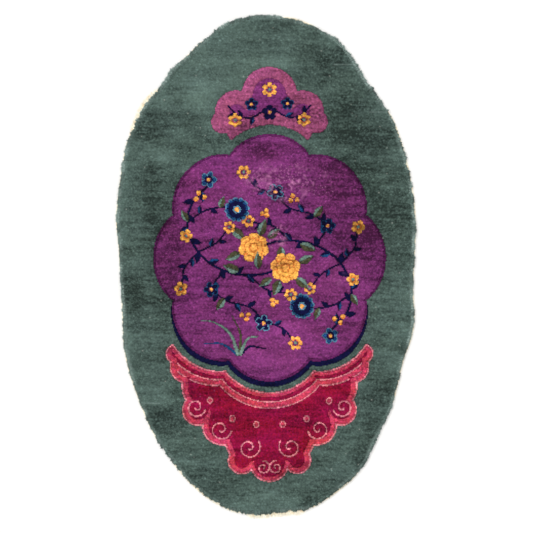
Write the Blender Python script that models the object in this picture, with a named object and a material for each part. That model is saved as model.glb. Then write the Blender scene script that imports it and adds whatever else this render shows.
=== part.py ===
"""Chinese art deco rug: hand-knotted wool pile on a cotton foundation, cut to an uneven oval.

Metres, +Z up. The rug lies flat on z = 0, face up, with its middle over the origin. The head
of its design is towards +Y. The pile leans out over the foundation's edge, and from under it
come strips of the bare cotton foundation, with their frayed warp ends level on the floor.
"""

import math
import random

import bmesh
import bpy
from mathutils import Vector

MM = 0.001

# The rug cloth, from the floor up
FOUNDATION_THICKNESS = 3.0 * MM
RUG_THICKNESS = 12.0 * MM
FOUNDATION_INSET = 8.0 * MM  # how far the pile's rim leans out past the foundation
RIM_STEP = 9.5 * MM  # about how far apart the rim's points are along the cut line
RAGGED_RIM = 2.0 * MM  # most that the hand-cut rim strays from its smooth line
NOTCH_DEPTH = 3.2 * MM  # deepest of the snipped notches at the foot
NOTCHED_BEARINGS = (185.0, 199.0)  # where they are, clockwise from the head

# The strips of bare foundation and their frayed warp ends
PIECE_GAP = 0.3 * MM
STRIP_THICKNESS = 2.2 * MM
STRIP_EDGE_THICKNESS = 1.4 * MM
END_WIDTH = 2.2 * MM  # a warp end at its root
END_TIP_WIDTH = 0.8 * MM
END_TIP_THICKNESS = 0.6 * MM
END_SHORTEST = 0.45  # the shortest warp end's share of its strip's reach
END_LEAN = math.radians(9.0)  # most that an end leans to either side

RANDOM_SEED = 5

# The line along which the rug was cut, by the places where the cut turns: across from the
# middle line to the right, up from the foot, in millimetres, clockwise from the head.
CUT_LINE = (
    # across, up
    (-20, 1520),
    (100, 1503),
    (205, 1452),
    (245, 1413),
    (315, 1306),
    (385, 1200),
    (438, 1021),
    (452, 900),
    (445, 700),
    (448, 590),
    (436, 531),
    (419, 488),
    (398, 402),
    (379, 330),
    (327, 222),
    (302, 165),
    (262, 119),
    (190, 62),
    (125, 25),
    (30, 14),
    (-45, 9),
    (-107, 22),
    (-188, 68),
    (-272, 152),
    (-340, 251),
    (-403, 403),
    (-428, 500),
    (-437, 640),
    (-447, 820),
    (-454, 900),
    (-444, 1005),
    (-419, 1142),
    (-391, 1200),
    (-372, 1243),
    (-325, 1297),
    (-287, 1355),
    (-240, 1396),
    (-180, 1454),
    (-110, 1500),
)
MIDDLE_UP = 761 * MM  # the rug's middle, up from the foot

# The cloth's rim in section, from its flat back round to its sheared top.
RIM_SECTION = (
    # inward from the pile's rim, up from the floor
    (FOUNDATION_INSET, 0.0),
    (FOUNDATION_INSET, FOUNDATION_THICKNESS),
    (1.5 * MM, 4.2 * MM),
    (0.0, 6.5 * MM),
    (1.5 * MM, 9.6 * MM),
    (5.0 * MM, 11.4 * MM),
    (12.0 * MM, RUG_THICKNESS),
)
RAGGED_RINGS = (2, 3, 4)  # the section's points that stray with the ragged rim

# Where the cotton shows: from and to as bearings from the rug's middle, clockwise from the
# head; how far the strip shows past the pile, how many warp ends it has, how far they reach.
COTTON_STRIPS = (
    # name, from, to, shows, ends, reach
    ("head_right", 4, 12, 2.0 * MM, 12, 5.0 * MM),
    ("right_shoulder", 38, 60, 1.0 * MM, 22, 2.5 * MM),
    ("right_side", 60.3, 98, 1.0 * MM, 26, 2.5 * MM),
    ("right_flank", 98.3, 137, 1.0 * MM, 26, 3.0 * MM),
    ("foot_right", 156, 170, 1.5 * MM, 28, 6.0 * MM),
    ("foot_middle", 170.2, 185, 6.5 * MM, 36, 13.0 * MM),
    ("foot_left", 185.2, 206, 1.5 * MM, 36, 6.5 * MM),
    ("left_flank", 211, 257, 0.5 * MM, 24, 2.5 * MM),
    ("left_side", 268, 313.8, 0.5 * MM, 26, 2.5 * MM),
    ("left_shoulder", 314, 329, 5.0 * MM, 34, 12.0 * MM),
    ("head_left", 337, 344, 1.0 * MM, 8, 3.0 * MM),
)

# Finishes: sRGB hex, roughness
WOOL_PILE = ("#506259", 0.95)
COTTON = ("#EFE2BC", 0.90)


# ---------------------------------------------------------------- materials


def linear(hex_colour):
    """Linear red, green and blue of an sRGB hex colour."""
    channels = (int(hex_colour[i : i + 2], 16) / 255.0 for i in (1, 3, 5))
    return [c / 12.92 if c <= 0.04045 else ((c + 0.055) / 1.055) ** 2.4 for c in channels]


def cloth_material(name, hex_colour, roughness):
    """A matt fibre finish."""
    material = bpy.data.materials.new(name)
    material.use_nodes = True
    shader = material.node_tree.nodes["Principled BSDF"]
    shader.inputs["Base Color"].default_value = (*linear(hex_colour), 1.0)
    shader.inputs["Roughness"].default_value = roughness
    shader.inputs["Metallic"].default_value = 0.0
    return material


# ---------------------------------------------------------------- the cut line


def between(a, b, start, end, here):
    """The point at here on the straight line from a, at start, to b, at end."""
    return a + (b - a) * ((here - start) / (end - start))


def smooth_line():
    """The cut line as a closed smooth curve round the rug's middle (Catmull-Rom, centripetal)."""
    points = [Vector((across * MM, up * MM - MIDDLE_UP)) for across, up in CUT_LINE]
    count = len(points)
    line = []
    for i in range(count):
        p = [points[(i + k) % count] for k in (-1, 0, 1, 2)]
        t = [0.0]
        for a, b in zip(p, p[1:]):
            t.append(t[-1] + math.sqrt((b - a).length))
        steps = round((p[2] - p[1]).length / RIM_STEP)
        for step in range(steps):
            here = t[1] + (t[2] - t[1]) * step / steps
            a = [between(p[k], p[k + 1], t[k], t[k + 1], here) for k in range(3)]
            b = [between(a[k], a[k + 1], t[k], t[k + 2], here) for k in range(2)]
            line.append(between(b[0], b[1], t[1], t[2], here))
    return line


def outward(line, i):
    """The direction away from the rug at point i of a clockwise line."""
    along = line[(i + 1) % len(line)] - line[i - 1]
    return Vector((-along.y, along.x)).normalized()


def bearing(point):
    """Degrees clockwise from the head, seen from above."""
    return math.degrees(math.atan2(point.x, point.y)) % 360.0


def rim_at(line, degrees):
    """The rim's point at a bearing, and the direction away from the rug there."""
    for i, point in enumerate(line):
        after = (i + 1) % len(line)
        turn = (bearing(line[after]) - bearing(point)) % 360.0
        part = (degrees - bearing(point)) % 360.0
        if part <= turn < 180.0:
            share = part / turn
            place = point.lerp(line[after], share)
            away = outward(line, i).lerp(outward(line, after), share).normalized()
            return place, away
    raise ValueError(f"the cut line has no point at {degrees} degrees")


# ---------------------------------------------------------------- the pieces


def new_piece(name, mesh_build, material):
    """An object of the shape in mesh_build, faces pointing out."""
    bmesh.ops.recalc_face_normals(mesh_build, faces=mesh_build.faces)
    mesh = bpy.data.meshes.new(name)
    mesh_build.to_mesh(mesh)
    mesh_build.free()
    mesh.materials.append(material)
    piece = bpy.data.objects.new(name, mesh)
    bpy.context.collection.objects.link(piece)
    return piece


def rim_strays(line):
    """How far in from the smooth line each point of the pile's rim was cut."""
    uneven = random.Random(RANDOM_SEED)
    low, high = NOTCHED_BEARINGS
    strays = []
    for i, point in enumerate(line):
        notched = low < bearing(point) < high and i % 2 == 1
        strays.append(uneven.uniform(0.4, 1.0) * NOTCH_DEPTH if notched else 0.0)
        strays[-1] += uneven.uniform(0.0, RAGGED_RIM)
    return strays


def rug_cloth(line, material):
    """The rug itself: rings of its rim section round the cut line, closed by back and top."""
    strays = rim_strays(line)
    build = bmesh.new()
    rings = []
    for number, (inward, height) in enumerate(RIM_SECTION):
        ring = []
        for i, point in enumerate(line):
            stray = strays[i] if number in RAGGED_RINGS else 0.0
            place = point - outward(line, i) * (inward + stray)
            ring.append(build.verts.new((place.x, place.y, height)))
        rings.append(ring)
    count = len(line)
    for lower, upper in zip(rings, rings[1:]):
        for i in range(count):
            after = (i + 1) % count
            build.faces.new((lower[i], lower[after], upper[after], upper[i]))
    build.faces.new(rings[0])
    build.faces.new(rings[-1])
    return new_piece("rug_cloth", build, material)


def station(build, line, degrees, shows):
    """Four corners of a strip's section: back low, back high, edge high, edge low."""
    rim, away = rim_at(line, degrees)
    back = rim - away * (FOUNDATION_INSET - PIECE_GAP)
    edge = rim + away * shows
    corners = (
        (back, 0.0),
        (back, STRIP_THICKNESS),
        (edge, STRIP_EDGE_THICKNESS),
        (edge, 0.0),
    )
    return [build.verts.new((place.x, place.y, height)) for place, height in corners]


def warp_end(build, left, right, away, length, lean):
    """A frayed warp end: four tapering sides out of a strip's edge, level on the floor."""
    root = (left[3].co + right[3].co) / 2.0
    straight = Vector((away.x, away.y, 0.0))
    sideways = Vector((away.y, -away.x, 0.0))
    tip = root + (straight * math.cos(lean) + sideways * math.sin(lean)) * length
    half = sideways * (END_TIP_WIDTH / 2.0)
    rise = Vector((0.0, 0.0, END_TIP_THICKNESS))
    low_left = build.verts.new(tip - half)
    low_right = build.verts.new(tip + half)
    high_left = build.verts.new(tip - half + rise)
    high_right = build.verts.new(tip + half + rise)
    build.faces.new((left[3], right[3], low_right, low_left))
    build.faces.new((left[2], left[3], low_left, high_left))
    build.faces.new((right[3], right[2], high_right, low_right))
    build.faces.new((right[2], left[2], high_left, high_right))
    build.faces.new((low_left, low_right, high_right, high_left))


def cotton_strip(line, name, start, end, shows, ends, reach, material):
    """A strip of bare foundation with its warp ends, one comb-shaped solid."""
    uneven = random.Random(f"{RANDOM_SEED} {name}")
    build = bmesh.new()
    pitch = (end - start) / ends
    radius = rim_at(line, (start + end) / 2.0)[0].length
    half_width = math.degrees(END_WIDTH / 2.0 / radius)
    stations = [station(build, line, start, shows)]
    first = stations[0]
    for number in range(ends):
        middle = start + pitch * (number + 0.5)
        left = station(build, line, middle - half_width, shows)
        right = station(build, line, middle + half_width, shows)
        stations += [left, right]
        length = (reach - shows) * uneven.uniform(END_SHORTEST, 1.0)
        away = rim_at(line, middle)[1]
        warp_end(build, left, right, away, length, uneven.uniform(-END_LEAN, END_LEAN))
    last = station(build, line, end, shows)
    stations.append(last)
    for number, (near, far) in enumerate(zip(stations, stations[1:])):
        build.faces.new((near[0], near[1], far[1], far[0]))
        build.faces.new((near[1], near[2], far[2], far[1]))
        build.faces.new((near[3], near[0], far[0], far[3]))
        if number % 2 == 0:  # between two warp ends the strip's edge is closed
            build.faces.new((near[2], near[3], far[3], far[2]))
    build.faces.new(first)
    build.faces.new(last)
    return new_piece(f"cotton_edge_{name}", build, material)


# ---------------------------------------------------------------- the rug


def centre_over_origin(pieces):
    """Moves the pieces together until the middle of their box is over the origin."""
    corners = [vertex.co for piece in pieces for vertex in piece.data.vertices]
    low = Vector((min(c.x for c in corners), min(c.y for c in corners), 0.0))
    high = Vector((max(c.x for c in corners), max(c.y for c in corners), 0.0))
    for piece in pieces:
        piece.location = -(low + high) / 2.0


def main():
    for old in list(bpy.data.objects):
        bpy.data.objects.remove(old, do_unlink=True)
    line = smooth_line()
    wool = cloth_material("wool_pile", *WOOL_PILE)
    cotton = cloth_material("cotton_foundation", *COTTON)
    pieces = [rug_cloth(line, wool)]
    for strip in COTTON_STRIPS:
        pieces.append(cotton_strip(line, *strip, cotton))
    centre_over_origin(pieces)


main()
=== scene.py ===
"""A Chinese art deco rug, seen from straight above: wool pile over a cotton foundation.

The pile's face is modelled knot by knot. A chart says which yarn each knot is tied in, and
its motifs are drawn by functions at their real size. Lengths are in metres, and a name that
ends in _mm, the chart and the tables with millimetre columns are in millimetres.
"""

import math
from types import SimpleNamespace

import bpy
import numpy as np
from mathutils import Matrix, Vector


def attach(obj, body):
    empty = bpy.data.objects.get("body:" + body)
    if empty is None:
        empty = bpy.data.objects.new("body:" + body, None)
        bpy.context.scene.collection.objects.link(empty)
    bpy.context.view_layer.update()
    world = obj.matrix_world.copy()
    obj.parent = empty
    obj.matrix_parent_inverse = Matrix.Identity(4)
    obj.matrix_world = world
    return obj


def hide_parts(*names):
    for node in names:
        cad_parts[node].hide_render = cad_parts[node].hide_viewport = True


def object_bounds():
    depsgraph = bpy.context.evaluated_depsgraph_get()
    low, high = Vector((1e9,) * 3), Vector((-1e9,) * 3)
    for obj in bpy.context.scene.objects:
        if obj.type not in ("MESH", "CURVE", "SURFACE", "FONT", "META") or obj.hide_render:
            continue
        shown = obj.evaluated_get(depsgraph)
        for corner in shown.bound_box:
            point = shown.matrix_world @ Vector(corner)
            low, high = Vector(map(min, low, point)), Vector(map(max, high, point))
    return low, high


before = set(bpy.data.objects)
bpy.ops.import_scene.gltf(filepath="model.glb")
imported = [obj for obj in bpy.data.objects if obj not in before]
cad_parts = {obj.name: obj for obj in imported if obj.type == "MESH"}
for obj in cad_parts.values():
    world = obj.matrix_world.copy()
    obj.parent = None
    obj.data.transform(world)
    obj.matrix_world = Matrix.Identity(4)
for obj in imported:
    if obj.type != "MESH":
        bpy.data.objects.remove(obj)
CAD_LOW, CAD_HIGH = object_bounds()

MM = 0.001
SEED = 23

# ---------------------------------------------------------------- the rug's own sizes

WIDTH = CAD_HIGH.x - CAD_LOW.x
LENGTH = CAD_HIGH.y - CAD_LOW.y
THICKNESS = CAD_HIGH.z - CAD_LOW.z

KNOT_ACROSS_MM = 3.1  # pairs of warps, about 98 knots to the foot
KNOT_UP_MM = 2.9  # a row of knots and its wefts
FOUNDATION_MM = 3.0  # warps and wefts under the pile
TUFT_RISE_MM = 0.85  # from the dip between tufts to a tuft's top
GROOVE_MM = 1.5  # shears' cut along an edge between two yarns
NAP_MM = 0.35  # how far a tuft's top leans towards the foot
CROWN_MM = (  # the sheared face's height, by its distance in from the rim
    (1.5, 9.6),
    (5.0, 11.3),
    (12.0, 11.9),
    (30.0, 12.0),
)
FACE_INSET_MM = 4.6  # the outermost knots of the face, and past them the rim's locks
LOCKS_COVER_MM = 2.0  # how deep a bite may be before it takes knots of the face too
BORDER_MM = 34.0  # the band of ground along the rim that is a piece of its own

# The wool's dyed colours, as they show on the sheared face
YARNS = (
    ("ground", "#495A54"),
    ("purple", "#733067"),
    ("deep purple", "#581F50"),
    ("mauve", "#92486C"),
    ("crimson", "#860F35"),
    ("rose", "#BC3B54"),
    ("pink", "#E28590"),
    ("navy", "#0C0C34"),
    ("blue", "#1B436F"),
    ("light blue", "#57829E"),
    ("gold", "#EAA34E"),
    ("orange", "#DA7F38"),
    ("sage", "#688076"),
    ("olive", "#484633"),
)
YARN = {name: number for number, (name, _) in enumerate(YARNS)}
FADED_WOOL = "#D487B8"  # worn tips, bleached to a pinkish lilac
PAINTED_SHEEN_GROUND = "#97AAA4"  # painted sheen: ground wool painted paler where it leans out and shows its fibres' length
PALE_LINT = "#D3D6CC"
BARE_COTTON = "#FFF8E2"
COTTON_SHADE = "#DDBE88"
FLOOR_WHITE = "#F7F6F4"

# ---------------------------------------------------------------- small helpers

def linear(hex_colour):
    """Linear red, green, blue and an alpha of 1 from an sRGB hex colour."""
    channels = [int(hex_colour[i : i + 2], 16) / 255.0 for i in (1, 3, 5)]
    return (*(c / 12.92 if c <= 0.04045 else ((c + 0.055) / 1.055) ** 2.4 for c in channels), 1.0)

def add(tree, kind, inputs=(), **settings):
    """A node of this kind. inputs gives sockets their values, or the sockets that feed them."""
    made = tree.nodes.new(kind)
    for name, value in settings.items():
        setattr(made, name, value)
    for socket, value in dict(inputs).items():
        if isinstance(value, bpy.types.NodeSocket):
            tree.links.new(value, made.inputs[socket])
        else:
            made.inputs[socket].default_value = value
    return made

def deselect_all():
    for thing in bpy.context.selected_objects:
        thing.select_set(False)

def on_faces(piece, chosen, step):
    """Runs a step in edit mode on the piece's chosen faces, or on all of them for None."""
    chosen = np.ones(len(piece.data.polygons)) if chosen is None else chosen
    piece.data.polygons.foreach_set("select", np.ascontiguousarray(chosen, dtype=bool))
    deselect_all()
    piece.select_set(True)
    bpy.context.view_layer.objects.active = piece
    bpy.context.tool_settings.mesh_select_mode = (False, False, True)
    bpy.ops.object.mode_set(mode="EDIT")
    step()
    bpy.ops.object.mode_set(mode="OBJECT")

def turn_outward(piece):
    on_faces(piece, None, lambda: bpy.ops.mesh.normals_make_consistent(inside=False))

def numbers(items, name):
    """A whole number for each of the mesh's faces or face corners."""
    found = np.empty(len(items), int)
    items.foreach_get(name, found)
    return found

def triples(items, name):
    """Three numbers, such as x, y and z, for each of the mesh's points or faces."""
    found = np.empty(len(items) * 3)
    items.foreach_get(name, found)
    return found.reshape(-1, 3)

def places_of(mesh):
    return triples(mesh.vertices, "co")

def face_middles(mesh):
    return triples(mesh.polygons, "center")

def corner_points(mesh):
    """The point that each face corner sits on."""
    return numbers(mesh.loops, "vertex_index")

def move_points(mesh, places):
    mesh.vertices.foreach_set("co", places.ravel())
    mesh.update()

def note(mesh, name, domain, values):
    """Writes a value for each point or face of the mesh, for its material to read."""
    layer = mesh.attributes.new(name, "FLOAT", domain)
    layer.data.foreach_set("value", np.ascontiguousarray(values, dtype=np.float32))

def lay_map(mesh, shares):
    """The piece's own map, from a pair of values from 0 to 1 for each face corner."""
    for old in list(mesh.uv_layers):
        mesh.uv_layers.remove(old)
    layer = mesh.uv_layers.new(name="OFBake")
    layer.uv.foreach_set("vector", (0.004 + 0.992 * np.clip(shares, 0, 1)).ravel())

def piece_from(name, points, faces):
    mesh = bpy.data.meshes.new(name)
    mesh.from_pydata([tuple(p) for p in points], [], faces)
    mesh.update()
    piece = bpy.data.objects.new(name, mesh)
    bpy.context.collection.objects.link(piece)
    return piece

def uneven(rng, shape, cells):
    """A smooth random field, mostly from -1 to 1; cells is its coarse grid, rows by columns."""
    coarse = rng.normal(size=(cells[0] + 3, cells[1] + 3)) * 0.6
    rows = np.linspace(0, cells[0] + 1, shape[0])
    columns = np.linspace(0, cells[1] + 1, shape[1])
    top, left = rows.astype(int), columns.astype(int)
    down, right = rows - top, columns - left
    down = ((3 - 2 * down) * down**2)[:, None]
    right = ((3 - 2 * right) * right**2)[None, :]
    a, b = coarse[np.ix_(top, left)], coarse[np.ix_(top, left + 1)]
    c, d = coarse[np.ix_(top + 1, left)], coarse[np.ix_(top + 1, left + 1)]
    return (a * (1 - right) + b * right) * (1 - down) + (c * (1 - right) + d * right) * down

# ---------------------------------------------------------------- the cut line

ROUND = 2 * math.pi

def bearing_of(x, y):
    """Clockwise from the rug's head, in radians."""
    return np.arctan2(x, y) % ROUND

def ring_at(node, height):
    """The node's points at this height in order of bearing: their bearings and places."""
    points = places_of(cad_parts[node].data)
    ring = np.unique(points[np.abs(points[:, 2] - height) < 0.1 * MM][:, :2].round(6), axis=0)
    bearings = bearing_of(ring[:, 0], ring[:, 1])
    order = np.argsort(bearings)
    return bearings[order], ring[order]

def cut_line():
    """The rug's outline from its solid: the foundation's smooth edge and the pile's cut rim."""
    points = places_of(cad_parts["rug_cloth"].data)
    levels = np.unique(points[:, 2].round(5))
    widths = [np.ptp(points[np.abs(points[:, 2] - level) < 0.1 * MM][:, 0]) for level in levels]
    bearings, edge = ring_at("rug_cloth", levels[0])
    rim_bearings, rim = ring_at("rug_cloth", levels[int(np.argmax(widths))])
    along = np.roll(edge, -1, axis=0) - np.roll(edge, 1, axis=0)
    along /= np.linalg.norm(along, axis=1)[:, None]
    away = np.stack([-along[:, 1], along[:, 0]], axis=1)
    reach = np.linalg.norm(edge, axis=1)
    slant = np.sum(away * edge, axis=1) / reach
    rim_reach = np.interp(bearings, rim_bearings, np.linalg.norm(rim, axis=1), period=ROUND)
    return SimpleNamespace(
        bearings=bearings, reach=reach, slant=slant, away=away, overhang=(rim_reach - reach) * slant
    )

LINE = cut_line()
OVERHANG = float(LINE.overhang.max())  # the pile's reach past the foundation, where uncut

def on_line(bearings, values):
    return np.interp(bearings, LINE.bearings, values, period=ROUND)

def inset_of(x, y):
    """How far in from the pile's uncut rim a place is."""
    bearings = bearing_of(x, y)
    short = on_line(bearings, LINE.reach) - np.hypot(x, y)
    return short * on_line(bearings, LINE.slant) + OVERHANG

def rim_places(bearings, inset):
    """Places at an inset from the uncut rim, and the directions away from the rug there."""
    reach = on_line(bearings, LINE.reach)
    away = np.stack([on_line(bearings, LINE.away[:, i]) for i in (0, 1)], axis=1)
    away /= np.linalg.norm(away, axis=1)[:, None]
    edge = np.stack([np.sin(bearings), np.cos(bearings)], axis=1) * reach[:, None]
    return edge + away * (OVERHANG - np.broadcast_to(inset, bearings.shape))[:, None], away

def cut_back(bearings):
    """How far the cut rim stands back from the uncut one, in its notches."""
    return OVERHANG - on_line(bearings, LINE.overhang)

def evenly_round(spacing, start=0.0, end=ROUND):
    """Bearings evenly far apart along the rim."""
    fine = np.linspace(start, end, 4000)
    places = rim_places(fine, np.zeros(len(fine)))[0]
    run = np.concatenate([[0.0], np.cumsum(np.linalg.norm(np.diff(places, axis=0), axis=1))])
    count = max(2, int(round(run[-1] / spacing)))
    return np.interp(np.arange(count) * run[-1] / count, run, fine)

RAGGEDNESS_MM = (  # how far in the shears strayed along the cut rim
    # degrees clockwise from the head, depth of the narrow nicks, depth of the bites
    (0, 4.8, 2.0),
    (22, 6.6, 2.5),
    (55, 6.6, 3.0),
    (70, 4.0, 1.5),
    (120, 3.0, 1.0),
    (150, 3.0, 1.0),
    (168, 4.0, 3.5),
    (185, 5.0, 5.5),
    (206, 5.5, 7.5),
    (215, 4.0, 3.0),
    (235, 2.6, 0.5),
    (270, 2.6, 0.5),
    (295, 3.8, 1.5),
    (312, 4.6, 3.5),
    (322, 5.5, 4.5),
    (332, 5.4, 3.0),
    (345, 5.0, 2.0),
)
NICKS_APART_MM, BITES_APART_MM, WAVES_APART_MM = 4, 7, 18
NICK_POWER = 1.4  # above 1, shallow nicks are commoner than deep ones
WAVE_SHARE = 0.4  # a wave's depth, as a share of the nicks'
BITTEN_SHARE = 0.3  # of the places for a bite
BITE_SIZES = (0.6, 1.0)
NICK_SHIFT, BITE_SHIFT = 0.42, 0.2  # about their mean depths, so that the line stays put

def ragged_cut():
    """How far the cut rim strays in from its line, at even steps round it: narrow nicks, waves
    and here and there a bite, all deeper where the rug was cut roughly."""
    rng = np.random.default_rng(SEED)
    bearings = evenly_round(1.0 * MM)
    run = np.arange(len(bearings))
    degrees, nick_depths, bite_depths = zip(*RAGGEDNESS_MM)
    nick_depth = np.interp(np.degrees(bearings), degrees, nick_depths, period=360)
    bite_depth = np.interp(np.degrees(bearings), degrees, bite_depths, period=360)
    at = run[::NICKS_APART_MM]
    nicks = np.interp(run, at, rng.random(len(at)) ** NICK_POWER) - NICK_SHIFT
    at = run[::WAVES_APART_MM]
    nicks += np.interp(run, at, rng.uniform(-WAVE_SHARE, WAVE_SHARE, len(at)))
    at = run[::BITES_APART_MM]
    bites = (rng.random(len(at)) < BITTEN_SHARE) * rng.uniform(*BITE_SIZES, len(at))
    bites = np.interp(run, at, bites) - BITE_SHIFT
    return bearings, (nicks * nick_depth + bites * bite_depth) * MM

RAGGED_CUT = ragged_cut()

RIM_SHEEN = (  # how far the rim's wool leans out, and so is painted paler along its fibres, as painted sheen
    # degrees clockwise from the head, share
    (0, 0.70),
    (30, 0.60),
    (55, 0.50),
    (75, 1.00),
    (108, 1.00),
    (122, 0.60),
    (160, 0.30),
    (200, 0.30),
    (222, 0.60),
    (232, 1.00),
    (237, 2.20),
    (245, 2.20),
    (250, 1.00),
    (256, 0.50),
    (266, 0.50),
    (276, 0.95),
    (300, 0.95),
    (312, 0.50),
    (330, 0.70),
    (345, 0.95),
)

# How strongly the rim's wool is painted with sheen at these bearings.
def leaning(bearings):
    return np.interp(np.degrees(bearings), *zip(*RIM_SHEEN), period=360)

def strays_in(bearings, share=1.0):
    """How far the ragged rim stands in from its line; share is that of the solid's notches."""
    return np.interp(bearings, *RAGGED_CUT, period=ROUND) + cut_back(bearings) * share

# ---------------------------------------------------------------- drawing on the chart

def blank_chart():
    """One knot for each warp pair and row, all of them ground. Places are knots' middles."""
    columns = int(WIDTH / MM / KNOT_ACROSS_MM)
    rows = int(LENGTH / MM / KNOT_UP_MM)
    return SimpleNamespace(
        across=(np.arange(columns) - (columns - 1) / 2) * KNOT_ACROSS_MM,
        up=(np.arange(rows) - (rows - 1) / 2) * KNOT_UP_MM,
        yarn=np.full((rows, columns), YARN["ground"]),
    )

def patch(chart, place, reach, turn=0.0):
    """The knots within reach of a place: their yarns, and their places turned about it."""
    across, up = place
    rows = slice(*np.searchsorted(chart.up, (up - reach, up + reach)))
    columns = slice(*np.searchsorted(chart.across, (across - reach, across + reach)))
    x, y = np.meshgrid(chart.across[columns] - across, chart.up[rows] - up)
    c, s = math.cos(math.radians(turn)), math.sin(math.radians(turn))
    return chart.yarn[rows, columns], x * c + y * s, y * c - x * s

def smooth_route(points, step=7.0):
    """Places a few millimetres apart on a smooth curve through the points."""
    p = [np.array(point, float) for point in points]
    p = [2 * p[0] - p[1], *p, 2 * p[-1] - p[-2]]
    route = []
    for a, b, c, d in zip(p, p[1:], p[2:], p[3:]):
        count = max(2, int(np.hypot(*(c - b)) / step))
        for t in np.arange(count) / count:
            bend = (2 * a - 5 * b + 4 * c - d) * t**2 + (3 * b - a - 3 * c + d) * t**3
            route.append(0.5 * (2 * b + (c - a) * t + bend))
    return np.array([*route, p[-2]])

def stem(chart, points, width, yarn="navy", tip_width=None):
    """A line of knots along a smooth route, tapering to tip_width."""
    route = smooth_route(points)
    tip_width = width if tip_width is None else tip_width
    for number, (a, b) in enumerate(zip(route, route[1:])):
        share = number / max(1, len(route) - 2)
        half = (width + (tip_width - width) * share) / 2
        run = float(np.hypot(*(b - a)))
        turn = math.degrees(math.atan2(b[1] - a[1], b[0] - a[0]))
        knots, x, y = patch(chart, a, run + width, turn)
        knots[np.hypot(x - np.clip(x, 0, run), y) < half] = YARN[yarn]
    return route

def leaf(chart, place, turn, length, width, near, far, rib=None):
    """A pointed leaf from its base at a place, each half in its own yarn."""
    knots, x, y = patch(chart, place, length, turn)
    part = np.clip(x / length, 0, 1)
    half = width / 2 * np.sin(math.pi * part**0.8)
    inside = (x > 0) & (x < length) & (np.abs(y) < half)
    knots[inside & (y >= 0)] = YARN[near]
    knots[inside & (y < 0)] = YARN[far]
    if rib:
        knots[inside & (np.abs(y) < 1.6) & (part < 0.8)] = YARN[rib]

def twig(chart, points, width, every, length, start, end):
    """A navy stem with navy leaves left and right by turns, every third one part blue."""
    route = stem(chart, points, width)
    run = np.concatenate([[0.0], np.cumsum(np.hypot(*np.diff(route, axis=0).T))])
    for number, place in enumerate(np.arange(run[-1] * start, run[-1] * end, every)):
        i = int(np.clip(np.searchsorted(run, place), 1, len(route) - 1))
        along = math.degrees(math.atan2(*(route[i] - route[i - 1])[::-1]))
        side = 1 if number % 2 == 0 else -1
        near = "blue" if number % 3 == 0 else "navy"
        leaf(chart, route[i], along + side * 48, length, length * 0.5, near, "navy")

def lobed(x, y, size, lobes, depth, turn, point=0.8):
    """Below zero inside a round with this many lobes, one of them at turn."""
    bearing = np.arctan2(y, x) - math.radians(turn)
    reach = 1 - depth * (1 - np.abs(np.cos(lobes * bearing / 2)) ** point)
    return np.hypot(x, y) - size * reach

def creases(x, y, count, turn, width):
    """True along the creases between petals."""
    part = (np.degrees(np.arctan2(y, x)) - turn) * count / 360 % 1
    return np.abs(part - 0.5) * math.radians(360 / count) * np.hypot(x, y) < width / 2

def blossom(chart, place, size, petals, turn, petal, heart, edge=None, throat=None):
    """A small flower of round petals that stand apart."""
    knots, x, y = patch(chart, place, size)
    out, round_size = (0.60, 0.37) if petals <= 5 else (0.64, 0.31)
    middles = [math.radians(turn + 360 * i / petals) for i in range(petals)]
    away = np.min(
        [np.hypot(x - size * out * math.cos(a), y - size * out * math.sin(a)) for a in middles],
        axis=0,
    )
    away -= size * round_size
    knots[away < 0] = YARN[edge or petal]
    knots[away < (-3.0 if edge else 0)] = YARN[petal]
    if throat:
        knots[(np.hypot(x, y) < size * 0.46) & (away < 0)] = YARN[throat]
    knots[np.hypot(x, y) < size * 0.2] = YARN[heart]

def peony(chart, place, size, turn):
    """A full gold flower: three rings of scalloped petals, creased in orange."""
    knots, x, y = patch(chart, place, size * 1.05)
    rings = (
        (1.0, 7, 0, "gold"),
        (0.66, 6, 25, "orange"),
        (0.60, 6, 25, "gold"),
        (0.34, 5, 10, "orange"),
        (0.24, 5, 10, "gold"),
    )
    for share, lobes, shift, yarn in rings:
        knots[lobed(x, y, size * share, lobes, 0.16, turn + shift) < 0] = YARN[yarn]
    outer = (np.hypot(x, y) > size * 0.6) & (lobed(x, y, size, 7, 0.16, turn) < 0)
    knots[creases(x, y, 7, turn, 3.4) & outer] = YARN["orange"]

def chrysanthemum(chart, place, size, turn):
    """A navy flower of twelve narrow petals with blue tips edged in light blue."""
    knots, x, y = patch(chart, place, size * 1.05)
    knots[lobed(x, y, size, 12, 0.16, turn, 0.6) < 0] = YARN["light blue"]
    knots[lobed(x, y, size * 0.9, 12, 0.16, turn, 0.6) < 0] = YARN["blue"]
    knots[lobed(x, y, size * 0.72, 12, 0.2, turn, 0.6) < 0] = YARN["navy"]
    knots[creases(x, y, 12, turn, 3.0) & (np.hypot(x, y) < size * 0.86)] = YARN["navy"]
    knots[lobed(x, y, size * 0.34, 6, 0.2, turn) < 0] = YARN["light blue"]
    knots[np.hypot(x, y) < size * 0.18] = YARN["gold"]

def berry(chart, place, size):
    knots, x, y = patch(chart, place, size)
    away = np.hypot(x, y * 0.9)
    knots[away < size] = YARN["gold"]
    knots[(away < size) & (y < -size * 0.3)] = YARN["orange"]

def pearl(chart, place, size):
    knots, x, y = patch(chart, place, size * 1.5)
    knots[np.hypot(x, y * 0.8) < size] = YARN["pink"]
    knots[np.hypot(x, y * 0.8) < size * 0.6] = YARN["rose"]

def scroll(chart, place, size, turn, way, yarn="pink", width=4.5):
    """A line that curls in from its outer end at turn."""
    points = []
    for share in np.linspace(0, 1, 22):
        reach = size * (1 - share) ** 0.8 + 3
        bearing = math.radians(turn + way * 480 * share)
        points.append((place[0] + reach * math.cos(bearing), place[1] + reach * math.sin(bearing)))
    stem(chart, points, width, yarn)

# ---------------------------------------------------------------- the design

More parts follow.
